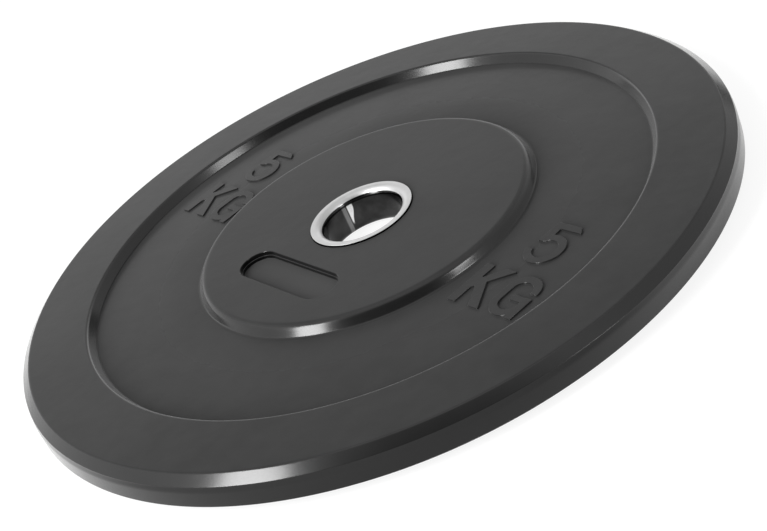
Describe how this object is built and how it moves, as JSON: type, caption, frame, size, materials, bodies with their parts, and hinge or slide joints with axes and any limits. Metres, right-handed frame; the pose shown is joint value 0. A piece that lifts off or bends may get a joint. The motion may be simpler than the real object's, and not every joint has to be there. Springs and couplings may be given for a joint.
{
  "type": "bumper plate",
  "caption": "Round black rubber bumper plate with a stepped hub, sunk web and raised rim, raised 5 KG markings and a steel sleeve that lines the bore for a bar.",
  "frame": {"origin": "on the bore's axis, level with the rear face of the steel sleeve, which the plate lies on", "axes": "+Z along the bore towards the front face, +X in the reading direction of the raised marking, +Y to the marking's top"},
  "size_m": [0.45, 0.45, 0.0245],
  "materials": {
    "rubber": "moulded black rubber, matte on the flats and glossy on the bevels",
    "polished_steel": "turned and polished",
    "bare_steel": "drawn rod, bare"
  },
  "bodies": {
    "root": {"rubber_disc": "rubber", "bore_sleeve": "polished_steel", "anchor_hook_1": "bare_steel", "anchor_hook_2": "bare_steel", "anchor_hook_3": "bare_steel", "anchor_hook_4": "bare_steel", "anchor_hook_5": "bare_steel", "anchor_hook_6": "bare_steel"}
  },
  "joints": []
}
